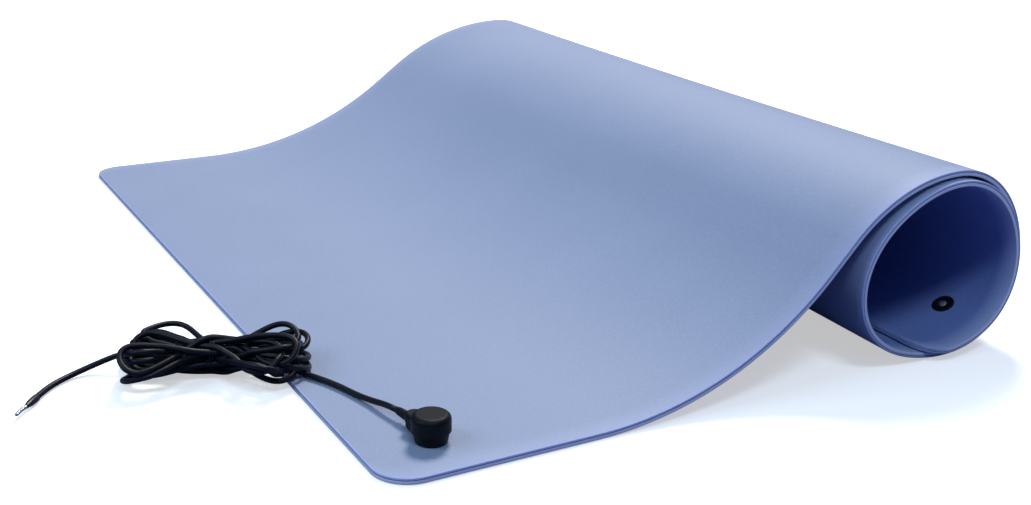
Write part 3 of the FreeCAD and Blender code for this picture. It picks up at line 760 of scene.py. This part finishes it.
@dataclass
class CordSet:
    """The ground cord: its lead, hank and tail as one line, with the tie, sleeve and bare end.

    Args:
        hank: the tied part.
        rounds: rounds of settling.
        quick_rounds: not used.
        held: points at each end of the hank that don't move.
        tip_start: from the cord's end to where the strands start, inside the sleeve.
        tip_length: length of the strands.
        tip_points: points along them.
        tip_bend: how far they bend aside.
        strands: strands seen round the tip.
        strand_twist: their twist, in radians.
        tie_turns: turns of the tie.
        tie_points: points along it.
        tie_width: how far its turns spread along the hank.
        tie_thickness: its radius.
    """

    hank: Hank = field(default_factory=Hank)
    rounds: int = 150
    quick_rounds: int = 6
    held: int = 5
    tip_start: float = 8.0
    tip_length: float = 12.3
    tip_points: int = 60
    tip_bend: float = 0.35
    strands: int = 6
    strand_twist: float = 34.0
    tie_turns: float = 2.0
    tie_points: int = 96
    tie_width: float = 3.4
    tie_thickness: float = 0.7

    def route(self) -> List[Vector]:
        """Control points of the whole cord in the row frame, from the connector to the sleeve."""
        lead = [LAYOUT.cord_exit()] + LEAD_ROUTE
        rounds = self.rounds
        middle = self.hank.raw_line()
        whole = np.concatenate([np.array(lead[-2:]), middle, np.array(TAIL_ROUTE[:2])])
        whole = self.hank.resample(whole, self.hank.step)
        whole = self.hank.settle(whole, rounds, self.held)
        line = lead[:-2] + [tuple(p) for p in whole] + TAIL_ROUTE[2:]
        return [LAYOUT.row(p) for p in line]

    def build(self, finish: "Finishes") -> None:
        """Args:
            finish: the materials.
        """
        line = nurbs_line("cord_line", self.route(), 3)
        radius = LAYOUT.cord_radius * MM
        cord = new_object("ground_cord", sweep("ground_cord", line, lambda s, a: radius, 14))
        length = sum((b - a).length for a, b in zip(line, line[1:]))
        LOG.info("ground cord: %.3f m in %d points", length, len(line))
        finish.dress(cord, Slot.CORD)
        end, heading = line[-1], (line[-1] - line[-3]).normalized()
        sleeve = self._sleeve(end, heading)
        finish.dress(sleeve, Slot.SLEEVE)
        tip = self._tip(end, heading)
        finish.dress(tip, Slot.TIN)
        tie = self._tie()
        finish.dress(tie, Slot.CORD)
        for piece, node in ((sleeve, "end_sleeve"), (tip, "end_tip"), (tie, "cord_tie")):
            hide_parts(node)
            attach(piece, "cord_set")
        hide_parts("cord_lead", "cord_hank", "cord_tail")
        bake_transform(cord)

    def _sleeve(self, end: Vector, heading: Vector) -> bpy.types.Object:
        """Shrunk sleeve over the cord's end, drawn in towards the bare conductor."""
        line = [end + heading * (x * MM) for x, _ in SLEEVE_PROFILE]
        radii = [r * MM for _, r in SLEEVE_PROFILE]
        last = len(radii) - 1

        def section(share: float, angle: float) -> float:
            """Radius of the slightly uneven sleeve."""
            base = radii[int(round(share * last))]
            return base * (1 + 0.012 * math.sin(3 * angle + share * 9))

        return new_object("shrink_sleeve", sweep("shrink_sleeve", line, section, 24))

    def _tip(self, end: Vector, heading: Vector) -> bpy.types.Object:
        """Twisted, tinned strands of the bare end, slightly bent."""
        side = heading.cross(Vector((0, 0, 1))).normalized()
        line = []
        for i in range(self.tip_points + 1):
            share = i / self.tip_points
            along = self.tip_start + self.tip_length * share
            bend = self.tip_bend * MM * math.sin(share * 3)
            line.append(end + heading * (along * MM) + side * bend)

        def section(share: float, angle: float) -> float:
            """Radius of the twisted bundle."""
            twist = angle * self.strands + share * self.strand_twist
            end_cut = 1.0 - 0.18 * ease((share - 0.93) / 0.07)
            return (0.92 + 0.13 * abs(math.cos(twist / 2))) * MM * end_cut

        return new_object("bare_end", sweep("bare_end", line, section, 36))

    def _tie(self) -> bpy.types.Object:
        """Thin tie pulled round the waist, under the outer turns."""
        hank = self.hank
        axis = Vector((*hank.waist_axis, 0.0)).normalized()
        side = Vector((-axis.y, axis.x, 0.0))
        centre = Vector((*hank.waist, hank.height))
        line = []
        for i in range(self.tie_points + 1):
            angle = 2 * math.pi * self.tie_turns * i / self.tie_points
            place = centre + axis * ((i / self.tie_points - 0.5) * self.tie_width)
            place += side * (hank.tie_radius * math.cos(angle))
            place += Vector((0, 0, hank.tie_radius * math.sin(angle)))
            line.append(LAYOUT.row(place))
        radius = self.tie_thickness * MM
        return new_object("cord_tie_wrap", sweep("cord_tie_wrap", line, lambda s, a: radius, 10))


# ---- finishes ------------------------------------------------------------------------------------
class Slot(Enum):
    """Material slots of the record."""

    VINYL = "dissipative_vinyl"
    SCRIM = "conductive_scrim"
    BASE = "vinyl_base"
    NICKEL = "nickel_plate"
    NYLON = "black_nylon"
    SPRING = "spring_steel"
    BRASS = "brass"
    RESISTOR = "resistor_coating"
    TIN = "tinned_copper"
    CORD = "cord_jacket"
    SLEEVE = "heat_shrink"


@dataclass(frozen=True)
class Look:
    """One finish.

    Args:
        color: base colour, linear.
        roughness: average roughness.
        metallic: 1 for metals.
        grain: size of the surface grain, in metres.
        relief: height of the grain's bump, in metres.
        mottle: how far the colour drifts over the surface, as a share.
        specular: specular level.
        sheen: weight of the soft edge sheen.
        developed: whether the grain follows the sheet's developed UVs.
    """

    color: Point3
    roughness: float
    metallic: float = 0.0
    grain: float = 0.0006
    relief: float = 0.00001
    mottle: float = 0.05
    specular: float = 0.5
    sheen: float = 0.0
    developed: bool = False


SHEET_DRIFT = 9.0            # changes of tone per metre, on the sheet and on small pieces
PIECE_DRIFT = 160.0
# Pale cut-edge colours: partly the laminate's own paler cut, partly painted light, raised to stand
# in for the front light on the edges that face the camera.
CUT_EDGE_TINTS_AND_PAINTED_LIGHT: Dict[Slot, Point3] = {Slot.VINYL: (0.46, 0.50, 0.78), Slot.BASE: (0.80, 0.81, 0.90)}

LOOKS: Dict[Slot, Look] = {
    Slot.VINYL: Look((0.292, 0.344, 0.490), 0.6, grain=0.0011, relief=0.00006, mottle=0.05,
                     specular=0.36, sheen=0.08, developed=True),
    Slot.SCRIM: Look((0.12, 0.12, 0.36), 0.7, grain=0.0008, developed=True),
    Slot.BASE: Look((0.19, 0.26, 0.56), 0.66, grain=0.0013, relief=0.00005, mottle=0.06,
                    specular=0.3, sheen=0.05, developed=True),
    Slot.NICKEL: Look((0.86, 0.83, 0.78), 0.44, 1.0, grain=0.0009, relief=0.000004),
    Slot.NYLON: Look((0.004, 0.006, 0.008), 0.5, grain=0.0007, relief=0.00002, mottle=0.2,
                     specular=0.14),
    Slot.SPRING: Look((0.55, 0.55, 0.56), 0.3, 1.0),
    Slot.BRASS: Look((0.7, 0.5, 0.2), 0.3, 1.0),
    Slot.RESISTOR: Look((0.5, 0.38, 0.2), 0.25, grain=0.0008),
    Slot.TIN: Look((0.68, 0.65, 0.6), 0.36, 1.0, grain=0.0005, relief=0.000012),
    Slot.CORD: Look((0.004, 0.004, 0.008), 0.45, grain=0.0012, relief=0.000012, mottle=0.25,
                    specular=0.27),
    Slot.SLEEVE: Look((0.01, 0.01, 0.011), 0.4, grain=0.0008, relief=0.00001, mottle=0.2),
}


@dataclass
class NodeBuilder:
    """Adds nodes to a tree and links them."""

    tree: bpy.types.NodeTree

    def add(self, kind: str, sockets: Optional[Dict[object, object]] = None,
            **settings: object) -> bpy.types.Node:
        """Add a node.

        Args:
            kind: node type.
            sockets: values by input, either constants or output sockets to link.
            settings: the node's own properties.

        Returns:
            The new node.
        """
        node = self.tree.nodes.new(kind)
        for key, value in settings.items():
            setattr(node, key, value)
        for key, value in (sockets or {}).items():
            socket = node.inputs[key]
            if isinstance(value, bpy.types.NodeSocket):
                self.tree.links.new(value, socket)
            else:
                socket.default_value = value
        return node


class GroupLibrary:
    """Shared shader node groups, each built once."""

    def __init__(self) -> None:
        """Build the groups."""
        self.grain = self._grain_field()
        self.drift = self._colour_drift()

    @staticmethod
    def _group(name: str, inputs: Sequence[Tuple[str, str, float]],
               outputs: Sequence[Tuple[str, str]]) -> Tuple[bpy.types.NodeTree, NodeBuilder]:
        """A new group with its sockets, and a builder for its nodes.

        Args:
            name: group name.
            inputs: label, socket type and default of each input.
            outputs: label and socket type of each output.

        Returns:
            The group and its builder.
        """
        group = bpy.data.node_groups.new(name, "ShaderNodeTree")
        for label, kind, value in inputs:
            socket = group.interface.new_socket(label, in_out="INPUT", socket_type=kind)
            if kind == "NodeSocketFloat":
                socket.default_value = value
        for label, kind in outputs:
            group.interface.new_socket(label, in_out="OUTPUT", socket_type=kind)
        return group, NodeBuilder(group)

    def _grain_field(self) -> bpy.types.NodeTree:
        """Pebbled grain: a height and a normal from two scales of noise."""
        group, make = self._group(
            "grain_field",
            [("Vector", "NodeSocketVector", 0.0), ("Size", "NodeSocketFloat", 0.001),
             ("Relief", "NodeSocketFloat", 0.00002)],
            [("Height", "NodeSocketFloat"), ("Normal", "NodeSocketVector")])
        given = make.add("NodeGroupInput")
        scale = make.add("ShaderNodeMath", {0: 1.0, 1: given.outputs["Size"]}, operation="DIVIDE")
        fine = make.add("ShaderNodeTexNoise", {"Vector": given.outputs["Vector"],
                                               "Scale": scale.outputs[0], "Detail": 2.0,
                                               "Roughness": 0.6})
        cells = make.add("ShaderNodeTexVoronoi", {"Vector": given.outputs["Vector"],
                                                  "Scale": scale.outputs[0], "Randomness": 1.0})
        mix = make.add("ShaderNodeMath", {0: fine.outputs["Fac"], 1: cells.outputs["Distance"]},
                       operation="ADD")
        bump = make.add("ShaderNodeBump", {"Height": mix.outputs[0],
                                           "Distance": given.outputs["Relief"], "Strength": 1.0})
        out = make.add("NodeGroupOutput")
        group.links.new(mix.outputs[0], out.inputs["Height"])
        group.links.new(bump.outputs["Normal"], out.inputs["Normal"])
        return group

    def _colour_drift(self) -> bpy.types.NodeTree:
        """Slow change of tone over a surface: a factor round 1 and a 0 to 1 mask."""
        group, make = self._group(
            "colour_drift",
            [("Vector", "NodeSocketVector", 0.0), ("Scale", "NodeSocketFloat", 18.0),
             ("Amount", "NodeSocketFloat", 0.05)],
            [("Factor", "NodeSocketFloat"), ("Mask", "NodeSocketFloat")])
        given = make.add("NodeGroupInput")
        noise = make.add("ShaderNodeTexNoise", {"Vector": given.outputs["Vector"],
                                                "Scale": given.outputs["Scale"], "Detail": 4.0,
                                                "Roughness": 0.62})
        centred = make.add("ShaderNodeMath", {0: noise.outputs["Fac"], 1: 0.5},
                           operation="SUBTRACT")
        sized = make.add("ShaderNodeMath", {0: centred.outputs[0], 1: given.outputs["Amount"]},
                         operation="MULTIPLY")
        factor = make.add("ShaderNodeMath", {0: sized.outputs[0], 1: 1.0}, operation="ADD")
        out = make.add("NodeGroupOutput")
        group.links.new(factor.outputs[0], out.inputs["Factor"])
        group.links.new(noise.outputs["Fac"], out.inputs["Mask"])
        return group


class Finishes:
    """Makes each slot's material once and puts it on pieces."""

    def __init__(self) -> None:
        """Start with the groups and no materials."""
        self.groups = GroupLibrary()
        self.made: Dict[Slot, bpy.types.Material] = {}

    def material(self, slot: Slot) -> bpy.types.Material:
        """The material of a slot."""
        if slot not in self.made:
            self.made[slot] = self._make(slot, LOOKS[slot])
        return self.made[slot]

    def dress(self, obj: bpy.types.Object, slot: Slot) -> None:
        """Put a slot's material on an object and note the slot."""
        obj.data.materials.clear()
        obj.data.materials.append(self.material(slot))
        LOG.info("%s: finish %s", obj.name, slot.value)

    def _make(self, slot: Slot, look: Look) -> bpy.types.Material:
        """Build a slot's material: Principled, with drifting tone and a fine grain."""
        material = bpy.data.materials.new(slot.value)
        material.use_nodes = True
        tree = material.node_tree
        tree.nodes.clear()
        make = NodeBuilder(tree)
        coordinates = make.add("ShaderNodeTexCoord")
        place = coordinates.outputs["UV" if look.developed else "Object"]
        drift = make.add("ShaderNodeGroup", node_tree=self.groups.drift)
        tree.links.new(place, drift.inputs["Vector"])
        drift.inputs["Scale"].default_value = SHEET_DRIFT if look.developed else PIECE_DRIFT
        drift.inputs["Amount"].default_value = look.mottle * 2
        grain = make.add("ShaderNodeGroup", node_tree=self.groups.grain)
        tree.links.new(place, grain.inputs["Vector"])
        grain.inputs["Size"].default_value = look.grain
        grain.inputs["Relief"].default_value = look.relief
        speck = make.add("ShaderNodeMapRange", {"Value": grain.outputs["Height"],
                                                "From Min": 0.5, "From Max": 1.3,
                                                "To Min": 1 - look.mottle,
                                                "To Max": 1 + look.mottle})
        tone = make.add("ShaderNodeMath", {0: drift.outputs["Factor"], 1: speck.outputs[0]},
                        operation="MULTIPLY")
        color = self._base_colour(make, look, slot, tone.outputs[0])
        rough = make.add("ShaderNodeMapRange", {"Value": drift.outputs["Mask"],
                                                "From Min": 0.3, "From Max": 0.7,
                                                "To Min": look.roughness - 0.05,
                                                "To Max": look.roughness + 0.05})
        shader = make.add("ShaderNodeBsdfPrincipled", {
            "Base Color": color, "Roughness": rough.outputs[0], "Metallic": look.metallic,
            "Specular IOR Level": look.specular, "Normal": grain.outputs["Normal"],
            "Sheen Weight": look.sheen, "Sheen Roughness": 0.5})
        output = make.add("ShaderNodeOutputMaterial")
        tree.links.new(shader.outputs[0], output.inputs["Surface"])
        return material

    @staticmethod
    def _base_colour(make: NodeBuilder, look: Look, slot: Slot,
                     tone: bpy.types.NodeSocket) -> bpy.types.NodeSocket:
        """Base colour times its tone, paler on the mat's cut edges: partly their own colour, partly
        painted light, with painted shade at the rolled end.
        """
        combine = make.add("ShaderNodeCombineXYZ", {"X": tone, "Y": tone, "Z": tone})
        mixed = make.add("ShaderNodeVectorMath", {0: combine.outputs[0], 1: look.color},
                         operation="MULTIPLY")
        if slot not in CUT_EDGE_TINTS_AND_PAINTED_LIGHT:
            return mixed.outputs[0]
        edge = make.add("ShaderNodeAttribute", attribute_name="cut_edge_and_painted_light",
                        attribute_type="GEOMETRY")
        blend = make.add("ShaderNodeMix", {"Factor": edge.outputs["Fac"]}, data_type="RGBA")
        make.tree.links.new(mixed.outputs[0], blend.inputs[6])
        blend.inputs[7].default_value = (*CUT_EDGE_TINTS_AND_PAINTED_LIGHT[slot], 1.0)
        return blend.outputs[2]


CAD_SLOTS: Dict[str, Slot] = {
    "front_snap_stud": Slot.NICKEL, "front_snap_washer": Slot.NYLON,
    "front_snap_rivet": Slot.NICKEL, "end_snap_stud": Slot.NICKEL,
    "end_snap_washer": Slot.NYLON, "end_snap_rivet": Slot.NICKEL,
    "connector_base": Slot.NYLON, "connector_cover": Slot.NYLON, "snap_socket": Slot.NICKEL,
    "socket_spring": Slot.SPRING, "socket_rivet": Slot.NICKEL, "terminal_tab": Slot.BRASS,
    "resistor_body": Slot.RESISTOR, "resistor_leads": Slot.TIN, "wire_crimp": Slot.TIN,
    "cord_conductor": Slot.TIN, "cord_inner_end": Slot.CORD, "strain_relief": Slot.CORD,
    "cord_lead": Slot.CORD, "cord_hank": Slot.CORD, "cord_tail": Slot.CORD,
    "cord_tie": Slot.CORD, "end_sleeve": Slot.SLEEVE, "end_tip": Slot.TIN,
    "mat_top_layer": Slot.VINYL, "mat_conductive_layer": Slot.SCRIM, "mat_base_layer": Slot.BASE,
}


# ---- studio --------------------------------------------------------------------------------------
@dataclass(frozen=True)
class Lamp:
    """A rectangular softbox.

    Args:
        name: light name.
        place: where it hangs, metres in the row frame.
        target: what it points at.
        size: width and height.
        power: watts.
        color: light colour.
    """

    name: str
    place: Point3
    target: Point3
    size: Point2
    power: float
    color: Point3


LAMPS: List[Lamp] = [
    Lamp("key", (0.95, 1.0, 2.1), (-0.1, -0.1, 0.0), (0.7, 0.7), 56.0, (1.0, 0.96, 0.9)),
    Lamp("fill", (-1.7, 0.1, 1.5), (0.0, 0.0, 0.05), (1.4, 1.0), 16.0, (0.66, 0.86, 1.0)),
    Lamp("front", (-0.45, -1.5, 2.45), (0.1, -0.3, 0.0), (0.8, 0.6), 21.0, (0.66, 0.84, 1.0)),
]


@dataclass
class Studio:
    """Camera, floor and light.

    Args:
        eye: camera place in the corner frame, millimetres.
        gaze: direction it looks in.
        roll: turn about its line of sight, radians.
        lens: focal length for a 36 mm wide picture.
        floor_half: half the floor's side, metres.
        floor_height: height of the floor, just under the mat.
    """

    eye: Point3 = (-216.87, -505.37, 307.72)
    gaze: Point3 = (0.46166, 0.82479, -0.32648)
    roll: float = 0.0159
    lens: float = 46.49
    floor_half: float = 6.0
    floor_height: float = -0.0004

    def camera(self) -> None:
        """Place the camera."""
        data = bpy.data.cameras.new("camera")
        data.lens = self.lens
        data.sensor_width = 36.0
        data.clip_start = 0.01
        data.clip_end = 50.0
        cam = bpy.data.objects.new("camera", data)
        bpy.context.scene.collection.objects.link(cam)
        forward = Vector(self.gaze).normalized()
        level = forward.cross(Vector((0, 0, 1))).normalized()
        upright = level.cross(forward)
        right = level * math.cos(self.roll) + upright * math.sin(self.roll)
        up = upright * math.cos(self.roll) - level * math.sin(self.roll)
        turn = Matrix((right, up, -forward)).transposed().to_4x4()
        cam.matrix_world = Matrix.Translation(LAYOUT.row(self.eye)) @ turn
        bpy.context.scene.camera = cam

    def floor(self) -> None:
        """A plain pale floor, dull where light bounces off it so that it stays out of the roll."""
        half, low = self.floor_half, self.floor_height
        corners = [(-half, -half, low), (half, -half, low), (half, half, low), (-half, half, low)]
        mesh = mesh_from("floor", corners, [[0, 1, 2, 3]], smooth=False)
        plane = new_object("floor", mesh)
        material = bpy.data.materials.new("floor")
        material.use_nodes = True
        tree = material.node_tree
        tree.nodes.clear()
        make = NodeBuilder(tree)
        noise = make.add("ShaderNodeTexNoise", {"Scale": 40.0, "Detail": 2.0})
        tone = make.add("ShaderNodeMapRange", {"Value": noise.outputs["Fac"], "To Min": 0.86,
                                               "To Max": 0.9})
        shade = make.add("ShaderNodeCombineXYZ", {"X": tone.outputs[0], "Y": tone.outputs[0],
                                                  "Z": tone.outputs[0]})
        seen = make.add("ShaderNodeBsdfPrincipled", {
            "Base Color": shade.outputs[0], "Roughness": 0.9, "Specular IOR Level": 0.1,
            "Emission Color": (1.0, 1.0, 1.0, 1.0), "Emission Strength": 0.52})
        bounced = make.add("ShaderNodeBsdfDiffuse", {"Color": (0.17, 0.2, 0.42, 1.0)})
        path = make.add("ShaderNodeLightPath")
        mix = make.add("ShaderNodeMixShader", {0: path.outputs["Is Camera Ray"],
                                               1: bounced.outputs[0], 2: seen.outputs[0]})
        output = make.add("ShaderNodeOutputMaterial")
        tree.links.new(mix.outputs[0], output.inputs["Surface"])
        mesh.materials.append(material)

    @staticmethod
    def area(lamp: Lamp) -> None:
        """Add a rectangular softbox."""
        data = bpy.data.lights.new(lamp.name, "AREA")
        data.shape = "RECTANGLE"
        data.size, data.size_y = lamp.size
        data.energy = lamp.power
        data.color = lamp.color
        obj = bpy.data.objects.new(lamp.name, data)
        bpy.context.scene.collection.objects.link(obj)
        obj.location = lamp.place
        gaze = Vector(lamp.target) - Vector(lamp.place)
        obj.rotation_euler = gaze.to_track_quat("-Z", "Y").to_euler()

    def lights(self) -> None:
        """Hang the softboxes in a blue-tinted surround that the camera sees as white."""
        for lamp in LAMPS:
            self.area(lamp)
        world = bpy.data.worlds.new("surround")
        bpy.context.scene.world = world
        world.use_nodes = True
        world.node_tree.nodes.clear()
        make = NodeBuilder(world.node_tree)
        tint = make.add("ShaderNodeBackground", {"Color": (0.3, 0.5, 1.0, 1.0), "Strength": 0.2})
        backdrop = make.add("ShaderNodeBackground", {"Color": (1.0, 1.0, 1.0, 1.0)})
        path = make.add("ShaderNodeLightPath")
        mix = make.add("ShaderNodeMixShader", {0: path.outputs["Is Camera Ray"],
                                               1: tint.outputs[0], 2: backdrop.outputs[0]})
        make.add("ShaderNodeOutputWorld", {"Surface": mix.outputs[0]})
        bpy.context.scene.view_settings.view_transform = "Standard"


# ---- assembly ------------------------------------------------------------------------------------
class BenchMat:
    """Puts the looks on the frame."""

    def __init__(self) -> None:
        """Get the finishes and the sheet's shape ready."""
        self.finish = Finishes()
        self.shape = SheetShape(LAYOUT)

    def cad_pieces(self) -> None:
        """Dress the CAD nodes."""
        for name, slot in CAD_SLOTS.items():
            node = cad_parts[name]
            self.finish.dress(node, slot)

    def mat(self) -> None:
        """Build the mat's layers in place of their CAD nodes."""
        layers = MatLayers(self.shape)
        for layer, name, node, slot in (
                (Layer.TOP, "mat_top", "mat_top_layer", Slot.VINYL),
                (Layer.CONDUCTIVE, "mat_scrim", "mat_conductive_layer", Slot.SCRIM),
                (Layer.BASE, "mat_base", "mat_base_layer", Slot.BASE)):
            obj = layers.build(layer, name)
            self.finish.dress(obj, slot)
            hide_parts(node)
            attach(obj, "mat")

    def build(self) -> None:
        """Build everything."""
        self.cad_pieces()
        self.mat()
        CordSet().build(self.finish)


def main() -> None:
    """Build the scene."""
    random.seed(SEED)
    BenchMat().build()
    studio = Studio()
    studio.camera()
    studio.floor()
    studio.lights()


if __name__ == "__main__":
    main()
